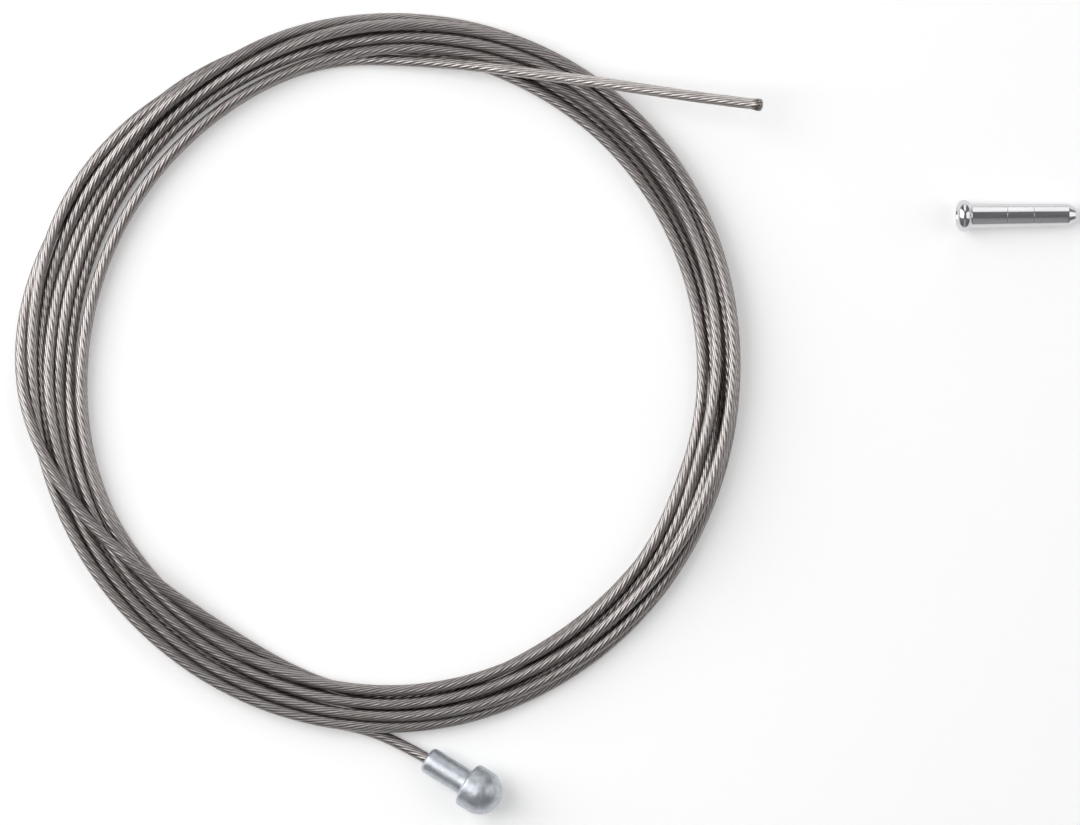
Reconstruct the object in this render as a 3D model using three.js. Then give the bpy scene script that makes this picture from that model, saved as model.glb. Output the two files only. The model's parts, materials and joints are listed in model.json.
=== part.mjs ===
// Bicycle brake cable: a coiled inner wire with its cast nipple and its loose end cap.
// Millimetres, +Z up. The coil lies flat on z = 0, and the origin is the bottom centre of the whole.

import * as THREE from "three";

// Wire
const wireDiameter = 1.5;
const cordSides = 8;

// Coil of turns, laid by hand: a little wider in some places than in others
const coilRadius = 45;
const coilHeight = 3;
const crestHeight = 0.5;
const turnsAcross = 4;
const crestSteps = 6;
const coilSegments = 96;

// The share of one turn by which the coil's foot is drawn in, as a round wire's is
const footShare = 0.3;

// Where the band of turns begins and ends, measured from coilRadius, every 30 degrees from +X
const bandEdges = [
  { inner: -2.5, outer: 3.1 },
  { inner: -2.3, outer: 3.8 },
  { inner: -2.2, outer: 3.8 },
  { inner: -2.3, outer: 2.8 },
  { inner: -4.4, outer: 1.9 },
  { inner: -5.9, outer: 3.1 },
  { inner: -6.1, outer: 3.3 },
  { inner: -5.0, outer: 1.5 },
  { inner: -5.7, outer: 2.1 },
  { inner: -3.6, outer: 2.7 },
  { inner: -2.9, outer: 3.0 },
  { inner: -2.5, outer: 3.1 },
];

// Nipple: a mushroom head on a shank, cast on the end of the wire
const shankDiameter = 3.6;
const shankLength = 6.4;
const shankChamfer = 0.6;
const headDiameter = 6.16;
const headLength = 4.95;
const headRim = 0.45;
const headDome = 2.9;
const nippleAngle = 277.16;
const nippleBeyond = 6.77;
const nippleHeading = -31.4;

// End cap: a drawn cup with a rolled mouth, not yet crimped on the wire
const capLength = 15.9;
const capMouthDiameter = 3.3;
const capTipDiameter = 3.04;
const capRimDiameter = 4.34;
const capRimWidth = 2;
const capWall = 0.5;
const capTipCone = 0.9;
const capNoseDiameter = 2.1;
const capPlace = { x: 76.9, y: 20.9 };
const capHeading = 0.6;

// Gap between pieces that meet, and between the wire's flat sides and the surface
const clearance = 0.3;
const floorGap = 0.05;

const roundSegments = 32;
const arcSteps = 6;
const wireRadius = wireDiameter / 2;
const onFloor = wireRadius + floorGap;
const overCoil = coilHeight + clearance + wireRadius;

const steel = new THREE.MeshStandardMaterial({ color: 0x8a8681, roughness: 0.35, metalness: 1 });
const zinc = new THREE.MeshStandardMaterial({ color: 0xa3a8ac, roughness: 0.45, metalness: 1 });
const aluminium = new THREE.MeshStandardMaterial({ color: 0xdcdde0, roughness: 0.25, metalness: 1 });

const model = new THREE.Group();

function addPiece(name, geometry, material) {
  const mesh = new THREE.Mesh(geometry, material);
  mesh.name = name;
  model.add(mesh);
  return mesh;
}

// A point given by its angle about the coil's centre and its distance beyond coilRadius
function aroundCoil(angle, beyond, height) {
  const turn = THREE.MathUtils.degToRad(angle);
  const radius = coilRadius + beyond;
  return new THREE.Vector3(radius * Math.cos(turn), radius * Math.sin(turn), height);
}

// Points of an arc from one direction to the next, both in degrees
function roundTo(centreX, centreY, radius, fromAngle, toAngle) {
  const points = [];
  for (let step = 0; step <= arcSteps; step += 1) {
    const angle = THREE.MathUtils.degToRad(fromAngle + (toAngle - fromAngle) * step / arcSteps);
    points.push(new THREE.Vector2(centreX + radius * Math.cos(angle), centreY + radius * Math.sin(angle)));
  }
  return points;
}

// A profile turned about its axis, which then lies along +X
function turnedAlongX(profile) {
  const geometry = new THREE.LatheGeometry(profile, roundSegments);
  geometry.rotateZ(-Math.PI / 2);
  return geometry;
}

// The wire along a route, with flat ends
function wireAlong(route, steps) {
  const section = new THREE.Shape();
  for (let side = 0; side < cordSides; side += 1) {
    const angle = 2 * Math.PI * (side + 0.5) / cordSides;
    const x = wireRadius * Math.cos(angle);
    const y = wireRadius * Math.sin(angle);
    if (side === 0) {
      section.moveTo(x, y);
    } else {
      section.lineTo(x, y);
    }
  }
  section.closePath();
  const path = new THREE.CatmullRomCurve3(route, false, "centripetal");
  return new THREE.ExtrudeGeometry(section, { extrudePath: path, steps });
}

// Coil: a turned ring with one crest for each turn of its top layer, spread to the band's edges
function coilGeometry() {
  const profile = [];
  const crestFoot = coilHeight - crestHeight;
  for (let turn = 0; turn < turnsAcross; turn += 1) {
    for (let step = 0; step < crestSteps; step += 1) {
      const angle = Math.PI * step / crestSteps;
      const across = (turn + (1 - Math.cos(angle)) / 2) / turnsAcross;
      profile.push(new THREE.Vector2(across, crestFoot + crestHeight * Math.sin(angle)));
    }
  }
  profile.push(new THREE.Vector2(1, crestFoot));
  profile.push(new THREE.Vector2(1, wireRadius));
  profile.push(new THREE.Vector2(1 - footShare / turnsAcross, 0));
  profile.push(new THREE.Vector2(footShare / turnsAcross, 0));
  profile.push(new THREE.Vector2(0, wireRadius));
  profile.push(new THREE.Vector2(0, crestFoot));
  profile.reverse();

  // While it is turned, the profile runs from radius 1 at the inner edge to 2 at the outer one
  profile.forEach((point) => {
    point.x += 1;
  });

  const edge = (side) => new THREE.CatmullRomCurve3(
    bandEdges.map((band, index) => aroundCoil(index * 360 / bandEdges.length, band[side], 0)),
    true,
  );
  const innerEdge = edge("inner");
  const outerEdge = edge("outer");

  const geometry = new THREE.LatheGeometry(profile, coilSegments);
  geometry.rotateX(Math.PI / 2);
  const places = geometry.attributes.position;
  for (let index = 0; index < places.count; index += 1) {
    const x = places.getX(index);
    const y = places.getY(index);
    const share = (Math.atan2(y, x) / (2 * Math.PI) + 1) % 1;
    const across = Math.hypot(x, y) - 1;
    const spot = innerEdge.getPoint(share).lerp(outerEdge.getPoint(share), across);
    places.setXY(index, spot.x, spot.y);
  }
  return geometry;
}
addPiece("wire_coil", coilGeometry(), steel);

// Nipple: its shank's foot and the rim of its head both touch the surface
const shankRadius = shankDiameter / 2;
const headRadius = headDiameter / 2;
const nippleRun = shankLength + headRim - shankChamfer;
const nippleRise = (headRadius - headRim) - (shankRadius - shankChamfer);
const nippleSlope = Math.atan2(nippleRise, nippleRun);
const nippleTilt = nippleSlope - Math.asin((shankChamfer - headRim) / Math.hypot(nippleRun, nippleRise));
const nippleLength = shankLength + headLength;

function nippleGeometry() {
  const domeCentre = nippleLength - headDome;
  return turnedAlongX([
    new THREE.Vector2(0, 0),
    ...roundTo(shankRadius - shankChamfer, shankChamfer, shankChamfer, -90, 0),
    new THREE.Vector2(shankRadius, shankLength),
    ...roundTo(headRadius - headRim, shankLength + headRim, headRim, -90, 0),
    ...roundTo(headRadius - headDome, domeCentre, headDome, 0, 90),
    new THREE.Vector2(0, nippleLength),
  ]);
}
const nipple = addPiece("nipple", nippleGeometry(), zinc);
const footCentre = (shankRadius - shankChamfer) * Math.cos(nippleTilt) - shankChamfer * Math.sin(nippleTilt);
const nippleFoot = footCentre + shankChamfer;
nipple.position.copy(aroundCoil(nippleAngle, nippleBeyond, nippleFoot));
nipple.rotation.set(0, -nippleTilt, THREE.MathUtils.degToRad(nippleHeading), "ZYX");

// Lead: the wire from under the coil into the nipple's shank
const nippleAxis = new THREE.Vector3(1, 0, 0).applyEuler(nipple.rotation);
const leadEnd = nipple.position.clone().addScaledVector(nippleAxis, -clearance);
const leadRoute = [
  aroundCoil(272.5, 3.68, onFloor),
  aroundCoil(275.2, 5.5, onFloor + 0.25),
  leadEnd.clone().addScaledVector(nippleAxis, -wireRadius),
  leadEnd,
];
addPiece("wire_lead", wireAlong(leadRoute, 4), steel);

// Free end: out from inside the coil and over its turns, still climbing at the tip as stiff wire does
const tailRoute = [
  aroundCoil(96, -3.8, onFloor),
  aroundCoil(90, -3.47, onFloor + 1.4),
  aroundCoil(85, -3.3, overCoil - 0.6),
  aroundCoil(80, -2.96, overCoil),
  aroundCoil(70, -1.72, overCoil),
  aroundCoil(61.6, 0.1, overCoil + 0.3),
  aroundCoil(53.5, 3.04, overCoil + 0.9),
  aroundCoil(44.3, 8.25, overCoil + 1.7),
  aroundCoil(38.6, 12.98, overCoil + 2.4),
  aroundCoil(34.8, 17.1, overCoil + 2.9),
];
addPiece("wire_tail", wireAlong(tailRoute, 24), steel);

// End cap: its rolled mouth and the edge of its closed tip touch the surface
const capTipRadius = capTipDiameter / 2;
const capRimRadius = capRimDiameter / 2;
const capMouthRadius = capMouthDiameter / 2;
const capBoreRadius = capTipRadius - capWall;
const capBeadRadius = capRimWidth / 2;
const beadCentre = capRimRadius - capBeadRadius;

function endCapGeometry() {
  return turnedAlongX([
    new THREE.Vector2(0, capLength - capWall),
    new THREE.Vector2(capBoreRadius - capTipCone / 2, capLength - capWall),
    new THREE.Vector2(capBoreRadius, capLength - capTipCone),
    new THREE.Vector2(capBoreRadius, capBeadRadius),
    ...roundTo(beadCentre, capBeadRadius, capBeadRadius, -150, 60),
    new THREE.Vector2(capMouthRadius, capRimWidth),
    new THREE.Vector2(capTipRadius, capLength - capTipCone),
    new THREE.Vector2(capNoseDiameter / 2, capLength),
    new THREE.Vector2(0, capLength),
  ]);
}
const endCap = addPiece("end_cap", endCapGeometry(), aluminium);
const capRun = capLength - capTipCone - capBeadRadius;
const capRise = capTipRadius - beadCentre;
const capTilt = Math.asin(capBeadRadius / Math.hypot(capRun, capRise)) - Math.atan2(capRise, capRun);
const capFoot = capBeadRadius + beadCentre * Math.cos(capTilt) + capBeadRadius * Math.sin(capTilt);
endCap.position.set(capPlace.x, capPlace.y, capFoot);
endCap.rotation.set(0, capTilt, THREE.MathUtils.degToRad(capHeading), "ZYX");

// Origin at the bottom centre of the whole
model.updateMatrixWorld(true);
const bounds = new THREE.Box3().setFromObject(model, true);
const centre = bounds.getCenter(new THREE.Vector3());
model.children.forEach((piece) => {
  piece.position.sub(new THREE.Vector3(centre.x, centre.y, bounds.min.z));
});

export default model;
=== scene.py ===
"""A bicycle brake cable: one stranded wire laid as a coil, its cast nipple and its loose end cap."""
import json
import math
import bpy
import numpy as np
from mathutils import Matrix, Vector, noise


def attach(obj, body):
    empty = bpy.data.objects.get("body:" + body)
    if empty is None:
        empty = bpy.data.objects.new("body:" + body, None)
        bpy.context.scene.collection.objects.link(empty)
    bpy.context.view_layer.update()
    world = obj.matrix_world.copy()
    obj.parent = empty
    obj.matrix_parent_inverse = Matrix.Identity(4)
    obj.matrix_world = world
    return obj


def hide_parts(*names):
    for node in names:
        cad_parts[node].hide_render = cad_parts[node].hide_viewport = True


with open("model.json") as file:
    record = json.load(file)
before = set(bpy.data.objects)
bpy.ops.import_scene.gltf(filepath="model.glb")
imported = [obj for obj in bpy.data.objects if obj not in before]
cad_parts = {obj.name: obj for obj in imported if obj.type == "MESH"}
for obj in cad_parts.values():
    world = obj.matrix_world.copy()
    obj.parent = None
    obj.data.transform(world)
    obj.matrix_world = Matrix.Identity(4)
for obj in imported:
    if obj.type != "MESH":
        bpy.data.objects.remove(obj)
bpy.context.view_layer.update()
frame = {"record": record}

# Sizes are in mm and angles in degrees, unless a comment says otherwise. One mm in metres
MM = 0.001

# Wire: a strand of outer wires, the length of one turn of their lay, and the depth of the furrows
WIRE = 1.5
OUTER_WIRES = 12
LAY = 15.4
FURROW = 0.1

# The wire's mesh: the steps in which its length is measured and its rings are set
FINE_STEP = 0.1
RING_STEP = 0.8

# The free end: where the rings stand closer, the fused stretch, its swelling and its rounded end
TIP_LENGTH = 2.4
TIP_RINGS = 17
TIP_FUSED = 1.3
TIP_SWELL = 0.09
TIP_ROUND = 0.45
# The share of a half wave that the swelling shows, and the share of the radius that its end keeps
SWELL_SHARE = 0.75
TIP_FLAT = 0.5

# Nipple: a mushroom head on a shank. Its place is the shank's end, about the coil's centre
SHANK_RADIUS = 1.8
SHANK_LENGTH = 6.4
SHANK_CHAMFER = 0.6
HEAD_RADIUS = 3.08
HEAD_LENGTH = 4.95
HEAD_RIM = 0.45
HEAD_DOME = 2.9
HEAD_FILLET = 0.12
NIPPLE_ANGLE = 277.16
NIPPLE_RADIUS = 51.77
NIPPLE_HEADING = -31.4
NIPPLE_SEGMENTS = 120

# The casting's skin: the height and size of its waves, and how fine its mesh is
CAST_WAVES = ((0.008, 1.4), (0.006, 0.5))
CAST_STEP = 0.2

# End cap: radii at the mouth, the tip, the rolled rim and the nose, with two scored rings
CAP_LENGTH = 15.9
CAP_MOUTH = 1.65
CAP_TIP = 1.52
CAP_RIM = 2.17
CAP_RIM_WIDTH = 2.0
CAP_WALL = 0.5
CAP_CONE = 0.9
CAP_NOSE = 1.05
CAP_ROUND = 0.15
CAP_SCORES = (6.75, 10.3)
SCORE_WIDTH = 0.16
SCORE_DEPTH = 0.03
SCORE_HOLD = 0.03
# The rolled rim's arc, from the bore out to the body
BEAD_FROM = -85
BEAD_TO = 60
CAP_PLACE = (76.9, 20.9)
CAP_HEADING = 0.6
CAP_SEGMENTS = 96
CAP_STEP = 0.4

# A profile's point this close to the axis lies on it
ON_AXIS = 1e-6

# Camera: its height in metres and its sensor's width. Photograph: pixels in a mm, its size, and
# the coil's centre in it
CAMERA_HEIGHT = 1.2
SENSOR = 36
PIXELS = 7.5
PHOTO_SIZE = (1080, 825)
PHOTO_COIL = (379, 373)

# The record's mount named rest is at the coil's foot, this far along +X from the coil's centre
REST_REACH = 45.3
rest = next(mount for mount in frame["record"]["mounts"] if mount["name"] == "rest")
COIL_CENTRE = np.array([rest["pos_m"][0] - REST_REACH * MM, rest["pos_m"][1], 0.0])

# Route of the wire. The turns go round clockwise from here, with a radius and a layer at each step
START_ANGLE = 270
TURN_STEP = 30
LEVEL_STEP = 15

# How far the middle of the wire is from the coil's centre in each turn, at every TURN_STEP
TURNS = [
    [47.9, 46.5, 45.6, 45.1, 45.7, 45.6, 46.8, 47.7, 47.9, 47.3, 47.3, 47.3],
    [47.0, 46.4, 45.9, 46.1, 47.3, 45.8, 45.9, 46.9, 47.2, 46.7, 46.7, 46.5],
    [45.8, 45.0, 44.3, 43.8, 44.4, 45.2, 43.5, 43.6, 43.5, 43.4, 43.3, 42.9],
    [42.3, 41.5, 40.8, 39.6, 39.6, 40.9, 43.1, 45.1, 45.9, 45.9, 44.6, 42.9],
    [43.0, 40.0, 42.7, 47.5, 46.7, 46.0, 45.1, 44.5, 44.3, 44.6, 45.4, 45.7],
    [46.2, 44.25, 43.4, 42.5, 43.0, 44.2, 46.2, 47.8, 48.0, 47.1, 45.9, 44.6],
    [44.1, 43.1, 42.7, 41.7, 41.9, 43.0, 44.8, 46.3, 46.2, 45.1, 44.0, 44.2],
    [44.5, 41.5, 40.7, 39.6, 39.6, 40.8],
]
# The layer in which each turn lies, at every LEVEL_STEP: 0 is on the floor
LEVELS = [
    "000000001121000000000011",
    "111111111111111111111111",
    "111111110010000111111111",
    "111111111111111100000000",
    "001222100000000000011100",
    "000000111122222222222111",
    "111111000001122222210000",
    "00000000000",
]
# How far the layers are apart before the turns fall on each other
LEVEL_LIFT = 1.9

# Angle and radius from the nipple to the coil and on under it
LEAD = [(NIPPLE_ANGLE, NIPPLE_RADIUS), (273.6, 49.6)]
UNDER_COIL = [(266, 47.0), (258, 46.6)]
# Places of the lead's first points along the shank's axis, from the shank's end
LEAD_INSIDE = (1.0, 0.4, -0.4, -1.2)

# Angle, radius and layer from the coil to the tip. Past TAIL_LEAVES the wire rises straight to its tip
TAIL = [(96, 41.9, 0), (90, 41.75, 0.5), (80, 42.0, 1.4), (70, 43.28, 2.5), (61.6, 45.1, 3),
        (53.5, 48.04, 3), (44.3, 53.25, 2), (38.6, 57.98, 1), (34.8, 62.1, 0)]
TAIL_LEAVES = 66
TIP_HEIGHT = 6.95

# How the turns settle, at this many places round the coil: first they fall, then they come to rest
SLICES = 180
ROUNDS = 900
FALL_SHARE = 0.8
FALL_STEP = 0.012
REST_STEP = 0.002
FALL_SMOOTHINGS = 3
REST_SMOOTHINGS = 1
# Shares by which a point is drawn to its neighbours, and by which it keeps its shift from its station
SMOOTHING = 0.25
SHIFT_KEPT = 0.995
# Layers less than this apart count as one, in which the turns may lie either way
SAME_LAYER = 0.45
# Pushes in a round, and the shares of an overlap by which turns push each other: beside each other,
# and where they cross
PUSHES = 4
BESIDE_OUT = 0.3
BESIDE_UP = 0.5
CROSSING_OUT = 0.12
CROSSING_UP = 0.3
# Added to a distance before it divides, so that it is never zero
TINY = 1e-9

# Looks of the steel: painted shade in the furrow and the colour on a wire, where the furrow's painted
# shade ends, and the streaks along each wire
STEEL_COLOUR = (0.485, 0.452, 0.443)
FURROW_SHADE_COLOUR = (0.05, 0.046, 0.043)
FURROW_SHADE_EDGE = 0.22
STEEL_ROUGHNESS = (0.27, 0.47)
STREAK_LENGTH = 2.5
STREAKS_PER_WIRE = 2.3
STREAK_TINTS = [(0.3, (0.72, 0.71, 0.70)), (0.7, (1.2, 1.2, 1.2))]
# The tip is scorched where its wires were fused, and the free end has painted light: its colour is lighter
# than the turns'
SCORCH_LENGTH = 2.0
SCORCH_TINTS = [(0.0, (0.4, 0.4, 0.4)), (0.2, (0.55, 0.55, 0.55)), (0.34, (0.22, 0.21, 0.2)),
                (0.46, (0.5, 0.48, 0.46)), (0.75, (1, 1, 1))]
PAINTED_LIGHT_LENGTH = 50.0
PAINTED_LIGHT_TINTS = [(0.5, (1.6, 1.6, 1.6)), (1.0, (1, 1, 1))]

# Looks of the zinc: a mottled colour and a finer grain
ZINC_COLOURS = [(0.3, (0.47, 0.5, 0.53)), (0.5, (0.55, 0.58, 0.62)), (0.72, (0.63, 0.67, 0.71))]
ZINC_ROUGHNESS = (0.34, 0.58)
MOTTLE_SIZE = 0.6
GRAIN_SIZE = 0.3
GRAIN_DEPTH = 0.02

# Looks of the aluminium: drawing lines, counted round the cap and per mm along it
ALUMINIUM_COLOURS = [(0.3, (0.64, 0.64, 0.655)), (0.7, (0.73, 0.73, 0.75))]
ALUMINIUM_ROUGHNESS = (0.12, 0.24)
LINES_ROUND = 60.0
LINES_ALONG = 0.2

# Floor: half its width in metres, its own colour, and the light it adds where it is seen
FLOOR_REACH = 3.0
FLOOR_LIT = 0.93
FLOOR_ROUGHNESS = 0.9
FLOOR_WHITE = 0.22

# Light: the room's own, and soft panels with their azimuth, elevation, distance, size and brightness,
# lengths in metres
CEILING = 0.15
PANELS = {
    "left": (162, 42, 0.65, (0.56, 0.85), 2.9),
    "top": (84, 28, 1.2, (0.55, 1.1), 1.2),
    "right": (6, 38, 1.2, (0.8, 1.3), 1.15),
    "front": (-90, 33, 1.2, (0.6, 1.35), 0.25),
}


def place(points):
    """Points in mm about the coil's centre, as metres in the row's frame."""
    return np.asarray(points, float) * MM + COIL_CENTRE


def make_camera():
    """A camera straight above, which frames what the photograph does."""
    data = bpy.data.cameras.new("camera")
    data.sensor_width = SENSOR
    data.lens = data.sensor_width * CAMERA_HEIGHT / (PHOTO_SIZE[0] / PIXELS * MM)
    data.clip_start = 0.01
    camera = bpy.data.objects.new("camera", data)
    middle = [(PHOTO_SIZE[0] / 2 - PHOTO_COIL[0]) / PIXELS, (PHOTO_COIL[1] - PHOTO_SIZE[1] / 2) / PIXELS, 0]
    camera.location = place(middle) + np.array([0, 0, CAMERA_HEIGHT])
    bpy.context.collection.objects.link(camera)
    bpy.context.scene.camera = camera


def nipple_rest():
    """The nipple's tilt and its shank's height, lying on its shank's edge and its head's rim, rounded."""
    run = SHANK_LENGTH + HEAD_RIM - SHANK_CHAMFER
    rise = (HEAD_RADIUS - HEAD_RIM) - (SHANK_RADIUS - SHANK_CHAMFER)
    tilt = math.atan2(rise, run) - math.asin((SHANK_CHAMFER - HEAD_RIM) / math.hypot(run, rise))
    foot = (SHANK_RADIUS - SHANK_CHAMFER) * math.cos(tilt) - SHANK_CHAMFER * math.sin(tilt) + SHANK_CHAMFER
    return round(math.degrees(tilt), 3), round(foot, 4)


def cap_rest():
    """The end cap's tilt and its mouth's height, lying on its rim and its tip's edge, rounded."""
    bead = CAP_RIM_WIDTH / 2
    bead_centre = CAP_RIM - bead
    run = CAP_LENGTH - CAP_CONE - bead
    rise = CAP_TIP - bead_centre
    tilt = math.asin(bead / math.hypot(run, rise)) - math.atan2(rise, run)
    foot = bead + bead_centre * math.cos(tilt) + bead * math.sin(tilt)
    return round(math.degrees(tilt), 3), round(foot, 4)


NIPPLE_TILT, NIPPLE_FOOT = nipple_rest()
CAP_TILT, CAP_FOOT = cap_rest()


def spline(at, values, where):
    """Natural cubic spline through values at the rising places at, read at where."""
    gaps = np.diff(at)
    slopes = np.diff(values) / gaps
    count = len(at)
    matrix = np.eye(count)
    right = np.zeros(count)
    for i in range(1, count - 1):
        matrix[i, i - 1:i + 2] = gaps[i - 1], 2 * (gaps[i - 1] + gaps[i]), gaps[i]
        right[i] = 6 * (slopes[i] - slopes[i - 1])
    bend = np.linalg.solve(matrix, right)
    i = np.clip(np.searchsorted(at, where) - 1, 0, count - 2)
    gap, past = gaps[i], where - at[i]
    slope = slopes[i] - gap * (2 * bend[i] + bend[i + 1]) / 6
    cubic = past ** 3 * (bend[i + 1] - bend[i]) / (6 * gap)
    return values[i] + past * slope + past ** 2 * bend[i] / 2 + cubic


def smooth(values):
    """Draws each inner value towards the middle of its neighbours, in place."""
    values[1:-1] += SMOOTHING * (values[2:] + values[:-2] - 2 * values[1:-1])


def route_stations():
    """Turned angle and radius at each station, and turned angle and layer at each level."""
    stations = [(-angle, radius) for angle, radius in LEAD + UNDER_COIL]
    levels = [(-NIPPLE_ANGLE, 0.0)]
    for turn, radii in enumerate(TURNS):
        start = 360 * turn - START_ANGLE
        stations += [(start + TURN_STEP * step, radius) for step, radius in enumerate(radii)]
        levels += [(start + LEVEL_STEP * step, float(level)) for step, level in enumerate(LEVELS[turn])]
    last = 360 * (len(TURNS) - 1)
    stations += [(last - angle, radius) for angle, radius, _ in TAIL]
    levels += [(last - angle, level) for angle, _, level in TAIL]
    return np.array(sorted(stations)).T, np.array(levels).T


def turns_by_place(angle):
    """For each place round the coil, the route's points there; -1 where there are fewer than elsewhere."""
    slots = [[] for _ in range(SLICES)]
    for index, value in enumerate(angle):
        slots[round(value * SLICES / 360) % SLICES].append(index)
    passes = max(len(slot) for slot in slots)
    return np.array([slot + [-1] * (passes - len(slot)) for slot in slots])


def differences(values):
    """Each value of a row less each other value of that row."""
    return values[:, :, None] - values[:, None, :]


def pushes(across, up, pair, order):
    """How far turns that overlap push each other outwards and upwards."""
    apart = np.hypot(across, up) + TINY
    overlap = np.where(pair & (order == 0), np.maximum(WIRE - apart, 0), 0)
    push_out = BESIDE_OUT * (overlap * across / apart).sum(2)
    push_up = BESIDE_UP * (overlap * up / apart).sum(2)

    crossing = pair & (order != 0) & (np.abs(across) < WIRE)
    needed = np.sqrt(np.maximum(WIRE ** 2 - across ** 2, 0))
    lack = np.where(crossing, np.maximum(needed - order * up, 0), 0)
    push_out += CROSSING_OUT * (lack * across / WIRE).sum(2)
    push_up += CROSSING_UP * (order * lack).sum(2)
    return push_out, push_up


def settle_turns():
    """The turns laid on each other: each keeps close to its stations and falls until it rests."""
    (at, radii), (level_at, levels) = route_stations()
    step = 360 / SLICES
    first = math.ceil(at[0] / step) * step
    angle = np.arange(first, at[-1] + step / 100, step)
    laid = spline(at, radii, angle)
    radius = laid.copy()
    level = np.interp(angle, level_at, levels)
    height = WIRE / 2 + level * LEVEL_LIFT

    table = turns_by_place(angle)
    present = table >= 0
    pair = present[:, :, None] & present[:, None, :] & ~np.eye(table.shape[1], dtype=bool)
    order = differences(level[table])
    order = np.where(pair & (np.abs(order) >= SAME_LAYER), np.sign(order), 0)

    for count in range(ROUNDS):
        falling = count < FALL_SHARE * ROUNDS
        height -= FALL_STEP if falling else REST_STEP
        for _ in range(FALL_SMOOTHINGS if falling else REST_SMOOTHINGS):
            shift = radius - laid
            smooth(shift)
            radius = laid + SHIFT_KEPT * shift
            smooth(height)
        for _ in range(PUSHES):
            push_out, push_up = pushes(differences(radius[table]), differences(height[table]), pair, order)
            np.add.at(radius, table[present], push_out[present])
            np.add.at(height, table[present], push_up[present])
            height = np.maximum(height, WIRE / 2)
    return angle, radius, height


def around_coil(angle, radius, height):
    """A point in mm about the coil's centre, from its angle and radius."""
    turn = math.radians(angle)
    return [radius * math.cos(turn), radius * math.sin(turn), height]


def wire_route():
    """The whole centreline in mm about the coil's centre, from inside the nipple to the tip."""
    angle, radius, height = settle_turns()
    turned = np.radians(-angle)
    points = np.stack([radius * np.cos(turned), radius * np.sin(turned), height], 1)

    # from its last crossing the free end climbs straight on, as stiff wire does
    tip_angle, tip_reach, _ = TAIL[-1]
    points = np.concatenate([points, [around_coil(tip_angle, tip_reach, TIP_HEIGHT)]])
    leaves = int(np.searchsorted(angle, 360 * (len(TURNS) - 1) - TAIL_LEAVES))
    steps = np.linalg.norm(np.diff(points[leaves:, :2], axis=0), axis=1)
    share = np.concatenate([[0], np.cumsum(steps)]) / steps.sum()
    points[leaves:, 2] = points[leaves, 2] + (TIP_HEIGHT - points[leaves, 2]) * share

    # the lead climbs into the nipple's shank
    heading, tilt = math.radians(NIPPLE_HEADING), math.radians(NIPPLE_TILT)
    axis = np.array([math.cos(heading) * math.cos(tilt), math.sin(heading) * math.cos(tilt), math.sin(tilt)])
    shank_end = np.array(around_coil(NIPPLE_ANGLE, NIPPLE_RADIUS, NIPPLE_FOOT))
    inside = [shank_end + axis * reach for reach in LEAD_INSIDE]

    # the settled route takes over a degree past the lead's last station
    past_lead = int(np.searchsorted(angle, 1 - LEAD[-1][0]))
    return np.concatenate([inside, points[past_lead:]]), shank_end


def resample(points):
    """Points along a smooth curve through points, close together over the fused tip."""
    run = np.concatenate([[0], np.cumsum(np.linalg.norm(np.diff(points, axis=0), axis=1))])
    fine = np.linspace(0, run[-1], int(run[-1] / FINE_STEP))
    curve = np.stack([spline(run, points[:, axis], fine) for axis in range(3)], 1)
    length = np.concatenate([[0], np.cumsum(np.linalg.norm(np.diff(curve, axis=0), axis=1))])
    tip = length[-1] - TIP_LENGTH
    along_wire = np.linspace(0, tip, int(tip / RING_STEP))
    over_tip = np.linspace(tip, length[-1], TIP_RINGS)
    places = np.concatenate([along_wire, over_tip[1:]])
    return np.stack([np.interp(places, length, curve[:, axis]) for axis in range(3)], 1), places


def mesh_object(name, verts, faces, uvs=None):
    """A smooth mesh from arrays; uvs has one pair for each corner of each face."""
    mesh = bpy.data.meshes.new(name)
    mesh.from_pydata([tuple(v) for v in verts], [], [tuple(map(int, f)) for f in faces])
    if uvs is not None:
        layer = mesh.uv_layers.new(name="UVMap")
        layer.data.foreach_set("uv", np.asarray(uvs, np.float32).ravel())
    mesh.polygons.foreach_set("use_smooth", [True] * len(mesh.polygons))
    mesh.update()
    piece = bpy.data.objects.new(name, mesh)
    bpy.context.collection.objects.link(piece)
    return piece


def strand_section():
    """Angle round the strand and depth below its outside: a furrow between each two outer wires."""
    angles, depths = [], []
    for wire in range(OUTER_WIRES):
        for part, depth in ((0, FURROW), (1 / 3, 0), (2 / 3, 0)):
            angles.append(2 * math.pi * (wire + part) / OUTER_WIRES)
            depths.append(depth)
    return np.array(angles), np.array(depths)


def tip_radius(left):
    """The strand's outer radius at a distance from its tip, where the wires are fused to a small bead."""
    if left >= TIP_FUSED:
        return WIRE / 2
    bead = math.sin(math.pi * min(1, (TIP_FUSED - left) / TIP_FUSED * SWELL_SHARE))
    radius = WIRE / 2 + TIP_SWELL * bead
    if left < TIP_ROUND:
        radius *= TIP_FLAT + (1 - TIP_FLAT) * math.sqrt(max(0, 1 - (1 - left / TIP_ROUND) ** 2))
    return radius


def strand_rings(points, run):
    """A ring of corners at each point of the route, which is run along the wire; the lay turns them."""
    tangent = np.gradient(points, axis=0)
    tangent /= np.linalg.norm(tangent, axis=1)[:, None]
    side = np.cross(tangent, [0, 0, 1.0])
    side /= np.linalg.norm(side, axis=1)[:, None]
    over = np.cross(side, tangent)
    angles, furrow = strand_section()
    rings = np.zeros((len(points), len(angles), 3))
    for ring, along in enumerate(run):
        left = run[-1] - along
        open_share = min(1, max(0, (left - TIP_FUSED / 2) / TIP_FUSED))
        radius = tip_radius(left) - furrow * open_share
        turn = angles + 2 * math.pi * along / LAY
        around = np.cos(turn)[:, None] * side[ring] + np.sin(turn)[:, None] * over[ring]
        rings[ring] = points[ring] + radius[:, None] * around
    return rings


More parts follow.
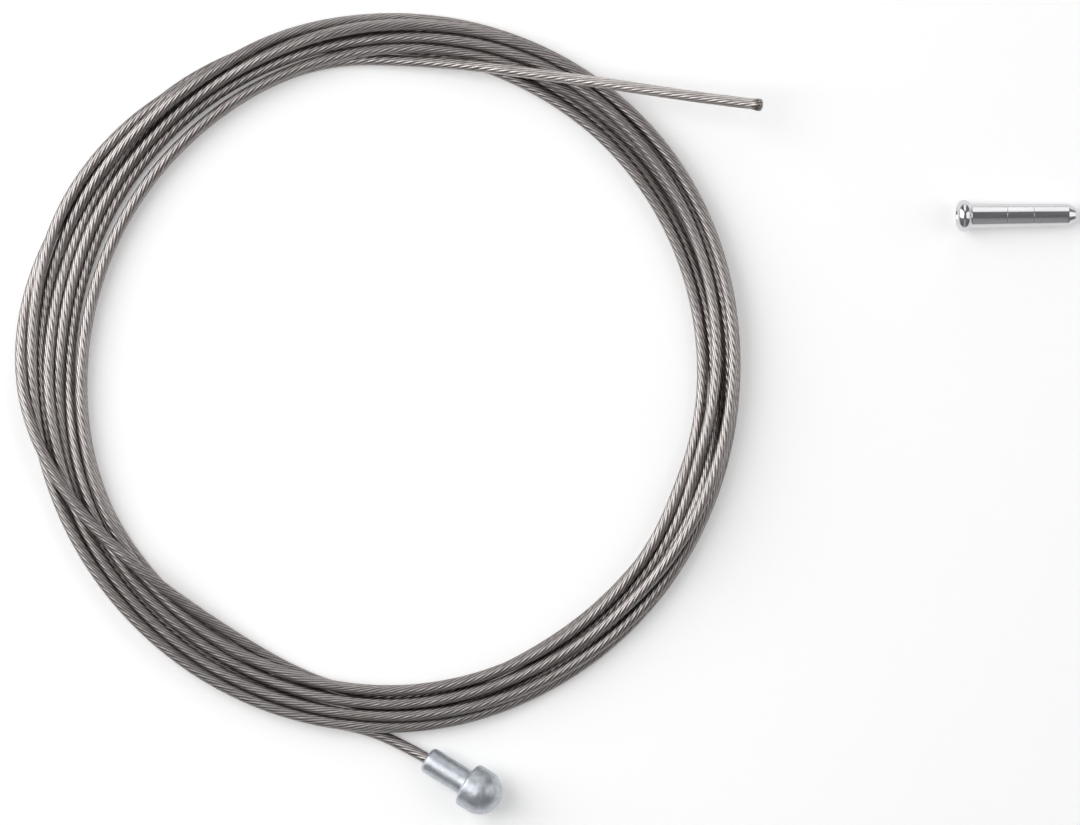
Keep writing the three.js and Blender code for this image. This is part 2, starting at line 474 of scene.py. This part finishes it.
def strand_faces(run, sides):
    """The faces between the rings and over both ends. UV: round the strand, and along it in metres."""
    count = len(run)
    ring, side = np.meshgrid(np.arange(count - 1), np.arange(sides), indexing="ij")
    next_side = (side + 1) % sides
    faces = np.stack([ring * sides + side, ring * sides + next_side,
                      (ring + 1) * sides + next_side, (ring + 1) * sides + side], -1)
    u0, u1 = side / sides, (side + 1) / sides
    v0, v1 = run[ring] * MM, run[ring + 1] * MM
    uvs = np.stack([np.stack([u0, v0], -1), np.stack([u1, v0], -1), np.stack([u1, v1], -1),
                    np.stack([u0, v1], -1)], -2).reshape(-1, 2)
    ends = [tuple(range(sides))[::-1], tuple((count - 1) * sides + i for i in range(sides))]
    around = [i / sides for i in range(sides)]
    end_uvs = [(u, 0.0) for u in around[::-1]] + [(u, run[-1] * MM) for u in around]
    return faces.reshape(-1, 4).tolist() + ends, np.concatenate([uvs, end_uvs])


def make_wire():
    """The wire, its centreline, its exit from the nipple and its length, all in metres."""
    points, shank_end = wire_route()
    smooth(points)
    smooth(points)
    points, run = resample(points)
    rings = strand_rings(points, run)
    sides = rings.shape[1]
    faces, uvs = strand_faces(run, sides)
    piece = mesh_object("wire", place(rings.reshape(-1, 3)), faces, uvs)
    from_tip = piece.data.attributes.new("from_tip", "FLOAT", "POINT")
    from_tip.data.foreach_set("value", np.repeat(run[-1] - run, sides).astype(np.float32))
    return piece, place(points), place(shank_end), run[-1] * MM


def filled(profile, step):
    """The profile with more points along its straight runs, so that its shading stays even."""
    dense = [profile[0]]
    for (along, radius), (next_along, next_radius) in zip(profile, profile[1:]):
        parts = max(1, round(math.hypot(next_along - along, next_radius - radius) / step))
        for part in range(1, parts + 1):
            share = part / parts
            dense.append((along + (next_along - along) * share, radius + (next_radius - radius) * share))
    return dense


def turned_piece(name, profile, segments):
    """A profile of (along, radius) turned about X; its ends lie on the axis. UV: round, along."""
    verts, faces, uvs = [], [], []
    rings = []
    for along, radius in profile:
        if radius < ON_AXIS:
            rings.append([len(verts)])
            verts.append((along, 0, 0))
        else:
            rings.append(list(range(len(verts), len(verts) + segments)))
            for i in range(segments):
                turn = 2 * math.pi * i / segments
                verts.append((along, radius * math.cos(turn), radius * math.sin(turn)))
    for k in range(len(rings) - 1):
        low, high = rings[k], rings[k + 1]
        v0, v1 = profile[k][0], profile[k + 1][0]
        for i in range(segments):
            j = (i + 1) % segments
            u0, u1 = i / segments, (i + 1) / segments
            if len(low) == 1:
                faces.append((low[0], high[j], high[i]))
                uvs += [(u0, v0), (u1, v1), (u0, v1)]
            elif len(high) == 1:
                faces.append((low[i], low[j], high[0]))
                uvs += [(u0, v0), (u1, v0), (u0, v1)]
            else:
                faces.append((low[i], low[j], high[j], high[i]))
                uvs += [(u0, v0), (u1, v0), (u1, v1), (u0, v1)]
    return mesh_object(name, np.array(verts), faces, uvs)


def arc(along, radius, size, from_angle, to_angle, steps):
    """Points of an arc in (along, radius), angles in degrees from the radial direction."""
    points = []
    for step in range(steps + 1):
        angle = math.radians(from_angle + (to_angle - from_angle) * step / steps)
        points.append((along + size * math.sin(angle), radius + size * math.cos(angle)))
    return points


def lay_down(piece, where, heading, tilt):
    """Moves a piece's mesh from its own axis along X to its place, in mm about the coil's centre."""
    turn = Matrix.Rotation(math.radians(heading), 4, "Z") @ Matrix.Rotation(math.radians(-tilt), 4, "Y")
    for vertex in piece.data.vertices:
        vertex.co = Vector(place(turn @ vertex.co + Vector(where)))


def roughen(piece, waves):
    """The uneven skin of a casting: (height, size) of each wave."""
    normals = [vertex.normal.copy() for vertex in piece.data.vertices]
    for vertex, normal in zip(piece.data.vertices, normals):
        lift = sum(height * noise.noise(vertex.co / size) for height, size in waves)
        vertex.co += normal * lift


def make_nipple():
    """The casting, from its shank's end to the dome of its head."""
    end = SHANK_LENGTH + HEAD_LENGTH
    profile = [(0.0, 0.0), (0.0, SHANK_RADIUS - SHANK_CHAMFER)]
    profile += arc(SHANK_CHAMFER, SHANK_RADIUS - SHANK_CHAMFER, SHANK_CHAMFER, -90, 0, steps=10)[1:]
    profile += [(SHANK_LENGTH - HEAD_FILLET, SHANK_RADIUS), (SHANK_LENGTH, SHANK_RADIUS + HEAD_FILLET)]
    profile += arc(SHANK_LENGTH + HEAD_RIM, HEAD_RADIUS - HEAD_RIM, HEAD_RIM, -90, 0, steps=8)
    profile += arc(end - HEAD_DOME, HEAD_RADIUS - HEAD_DOME, HEAD_DOME, 0, 90, steps=20)
    profile += [(end, 0.0)]
    piece = turned_piece("nipple_casting", filled(profile, CAST_STEP), NIPPLE_SEGMENTS)
    roughen(piece, CAST_WAVES)
    lay_down(piece, around_coil(NIPPLE_ANGLE, NIPPLE_RADIUS, NIPPLE_FOOT), NIPPLE_HEADING, NIPPLE_TILT)
    return piece


def make_end_cap():
    """The drawn cup, from its bore's end out round the rolled rim and along to its closed tip."""
    bead = CAP_RIM_WIDTH / 2
    bore = CAP_TIP - CAP_WALL
    bore_end = CAP_LENGTH - CAP_WALL
    body_end = CAP_LENGTH - CAP_CONE
    profile = [(bore_end, 0.0), (bore_end, bore - CAP_CONE / 2), (body_end, bore), (bead, bore)]
    profile += arc(bead, CAP_RIM - bead, bead, BEAD_FROM, BEAD_TO, steps=30)
    profile += [(CAP_RIM_WIDTH, CAP_MOUTH), (CAP_RIM_WIDTH + SCORE_HOLD, CAP_MOUTH)]
    for score in CAP_SCORES:
        radius = CAP_MOUTH + (CAP_TIP - CAP_MOUTH) * score / CAP_LENGTH
        half = SCORE_WIDTH / 2
        profile += [
            (score - half - SCORE_HOLD, radius),
            (score - half, radius),
            (score, radius - SCORE_DEPTH),
            (score + half, radius),
            (score + half + SCORE_HOLD, radius),
        ]
    slope = math.degrees(math.atan2(CAP_TIP - CAP_NOSE, CAP_CONE))
    profile += arc(body_end - CAP_ROUND / 2, CAP_TIP - CAP_ROUND, CAP_ROUND, 0, slope, steps=5)
    profile += arc(CAP_LENGTH - CAP_ROUND, CAP_NOSE - CAP_ROUND, CAP_ROUND, slope, 90, steps=8)
    profile += [(CAP_LENGTH, 0.0)]
    piece = turned_piece("end_cap_shell", filled(profile, CAP_STEP), CAP_SEGMENTS)
    lay_down(piece, (*CAP_PLACE, CAP_FOOT), CAP_HEADING, -CAP_TILT)
    return piece


class Finish:
    """A new material, and the few kinds of node that the finishes here are made of."""

    def __init__(self, name, metallic=0):
        self.material = bpy.data.materials.new(name)
        self.material.use_nodes = True
        self.nodes = self.material.node_tree.nodes
        self.links = self.material.node_tree.links
        self.shader = self.nodes["Principled BSDF"]
        self.shader.inputs["Metallic"].default_value = metallic

    def math(self, operation, *values):
        """A math node; each value is an output or a number."""
        node = self.nodes.new("ShaderNodeMath")
        node.operation = operation
        for socket, value in zip(node.inputs, values):
            if isinstance(value, (int, float)):
                socket.default_value = value
            else:
                self.links.new(value, socket)
        return node.outputs[0]

    def ramp(self, value, stops):
        """A colour that goes through (position, colour) stops as value goes from 0 to 1."""
        node = self.nodes.new("ShaderNodeValToRGB")
        self.links.new(value, node.inputs[0])
        elements = node.color_ramp.elements
        while len(elements) < len(stops):
            elements.new(0.5)
        for element, (position, colour) in zip(elements, stops):
            element.position = position
            element.color = (*colour, 1)
        return node.outputs[0]

    def multiply(self, first, second):
        """The product of two colours."""
        node = self.nodes.new("ShaderNodeMix")
        node.data_type = "RGBA"
        node.blend_type = "MULTIPLY"
        node.inputs["Factor"].default_value = 1
        self.links.new(first, node.inputs["A"])
        self.links.new(second, node.inputs["B"])
        return node.outputs["Result"]

    def uv(self):
        """The UV map's two numbers: round the piece, and along it."""
        uv = self.nodes.new("ShaderNodeUVMap")
        split = self.nodes.new("ShaderNodeSeparateXYZ")
        self.links.new(uv.outputs["UV"], split.inputs[0])
        return split.outputs["X"], split.outputs["Y"]

    def noise(self, vector, scale, detail):
        """Noise from 0 to 1 at a vector."""
        node = self.nodes.new("ShaderNodeTexNoise")
        node.inputs["Scale"].default_value = scale
        node.inputs["Detail"].default_value = detail
        self.links.new(vector, node.inputs["Vector"])
        return node.outputs["Fac"]

    def flat_noise(self, across, along):
        """Noise over a surface, from its two numbers."""
        node = self.nodes.new("ShaderNodeCombineXYZ")
        self.links.new(across, node.inputs[0])
        self.links.new(along, node.inputs[1])
        return self.noise(node.outputs[0], scale=1, detail=2)

    def surface_noise(self, size, detail):
        """Noise fixed to the object; size in mm."""
        node = self.nodes.new("ShaderNodeTexCoord")
        return self.noise(node.outputs["Object"], 1 / (size * MM), detail)

    def attribute(self, name):
        """A number that the mesh holds for each corner."""
        node = self.nodes.new("ShaderNodeAttribute")
        node.attribute_name = name
        return node.outputs["Fac"]

    def bump(self, height, depth):
        """Bump of a depth in mm."""
        node = self.nodes.new("ShaderNodeBump")
        node.inputs["Strength"].default_value = 1
        node.inputs["Distance"].default_value = depth * MM
        self.links.new(height, node.inputs["Height"])
        self.links.new(node.outputs[0], self.shader.inputs["Normal"])

    def colour(self, value):
        """Gives the surface a colour."""
        self.links.new(value, self.shader.inputs["Base Color"])

    def roughness(self, value, least, most):
        """Roughness from least to most as value goes from 0 to 1."""
        spread = self.math("MULTIPLY_ADD", value, most - least, least)
        self.links.new(spread, self.shader.inputs["Roughness"])


def steel_material():
    """Bright steel wires, with painted shade in the furrows, painted light towards the free end, and drawing
    streaks along each wire.
    """
    finish = Finish("steel_wire", metallic=1)
    around, along = finish.uv()
    wires = finish.math("MULTIPLY", around, OUTER_WIRES)
    # painted shade: the colour darkens to near black towards the furrow between each two wires
    shade_from_furrow = finish.math("PINGPONG", wires, 0.5)
    steel = finish.ramp(shade_from_furrow, [(0.0, FURROW_SHADE_COLOUR), (FURROW_SHADE_EDGE, STEEL_COLOUR)])
    streaks = finish.flat_noise(finish.math("MULTIPLY", wires, STREAKS_PER_WIRE),
                                finish.math("MULTIPLY", along, 1 / (STREAK_LENGTH * MM)))
    colour = finish.multiply(steel, finish.ramp(streaks, STREAK_TINTS))

    from_tip = finish.attribute("from_tip")
    # painted light: the steel's colour is made lighter towards the free end, over its last 50 mm
    painted_light = finish.ramp(finish.math("DIVIDE", from_tip, PAINTED_LIGHT_LENGTH), PAINTED_LIGHT_TINTS)
    scorch = finish.ramp(finish.math("DIVIDE", from_tip, SCORCH_LENGTH), SCORCH_TINTS)
    finish.colour(finish.multiply(finish.multiply(colour, painted_light), scorch))
    finish.roughness(streaks, *STEEL_ROUGHNESS)
    return finish.material


def zinc_material():
    """Cast zinc alloy: bluish silver, satin, mottled and a little pitted."""
    finish = Finish("cast_zinc", metallic=1)
    finish.colour(finish.ramp(finish.surface_noise(MOTTLE_SIZE, detail=4), ZINC_COLOURS))
    grain = finish.surface_noise(GRAIN_SIZE, detail=3)
    finish.roughness(grain, *ZINC_ROUGHNESS)
    finish.bump(grain, GRAIN_DEPTH)
    return finish.material


def aluminium_material():
    """Bright drawn aluminium, with faint drawing lines along it."""
    finish = Finish("bright_aluminium", metallic=1)
    around, along = finish.uv()
    lines = finish.flat_noise(finish.math("MULTIPLY", around, LINES_ROUND),
                              finish.math("MULTIPLY", along, LINES_ALONG))
    finish.roughness(lines, *ALUMINIUM_ROUGHNESS)
    finish.colour(finish.ramp(lines, ALUMINIUM_COLOURS))
    return finish.material


def make_floor():
    """A white floor that keeps its shadows, and is a little lighter where it is seen."""
    signs = [(-1, -1), (1, -1), (1, 1), (-1, 1)]
    corners = [(x * FLOOR_REACH, y * FLOOR_REACH, 0) for x, y in signs]
    piece = mesh_object("floor", corners, [(0, 1, 2, 3)])
    finish = Finish("floor_white")
    inputs = finish.shader.inputs
    inputs["Base Color"].default_value = (FLOOR_LIT, FLOOR_LIT, FLOOR_LIT, 1)
    inputs["Roughness"].default_value = FLOOR_ROUGHNESS
    inputs["Specular IOR Level"].default_value = 0
    inputs["Emission Color"].default_value = (1, 1, 1, 1)
    ray = finish.nodes.new("ShaderNodeLightPath").outputs
    seen = finish.math("MAXIMUM", ray["Is Camera Ray"], ray["Is Glossy Ray"])
    seen = finish.math("MAXIMUM", seen, ray["Is Transmission Ray"])
    finish.links.new(finish.math("MULTIPLY", seen, FLOOR_WHITE), inputs["Emission Strength"])
    piece.data.materials.append(finish.material)


def make_panel(name, azimuth, elevation, distance, size, brightness):
    """A soft panel of light that faces the middle of the object."""
    data = bpy.data.lights.new(name, "AREA")
    data.shape = "RECTANGLE"
    data.size, data.size_y = size
    data.energy = brightness * math.pi * size[0] * size[1]
    around, up = math.radians(azimuth), math.radians(elevation)
    direction = Vector((math.cos(around) * math.cos(up), math.sin(around) * math.cos(up), math.sin(up)))
    lamp = bpy.data.objects.new(name, data)
    lamp.location = direction * distance
    lamp.rotation_euler = direction.to_track_quat("Z", "Y").to_euler()
    bpy.context.collection.objects.link(lamp)


def make_world():
    """Even white light from all round."""
    world = bpy.data.worlds.new("studio")
    world.use_nodes = True
    background = world.node_tree.nodes["Background"]
    background.inputs["Color"].default_value = (1, 1, 1, 1)
    background.inputs["Strength"].default_value = CEILING
    bpy.context.scene.world = world


# Pieces
make_camera()
wire, wire_path, shank_end, wire_length = make_wire()
nipple = make_nipple()
end_cap = make_end_cap()

# Materials
wire.data.materials.append(steel_material())
nipple.data.materials.append(zinc_material())
end_cap.data.materials.append(aluminium_material())

# Each piece hangs from the root body, and the parts of model.glb that the pieces stand in for are hidden
for piece, slot in ((wire, "steel_wire"), (nipple, "cast_zinc"), (end_cap, "bright_aluminium")):
    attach(piece, "root")
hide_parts("wire_coil", "wire_lead", "wire_tail")
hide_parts("nipple")
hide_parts("end_cap")

# Floor and light
make_floor()
for name, panel in PANELS.items():
    make_panel(name, *panel)
make_world()
bpy.context.scene.view_settings.view_transform = "Standard"
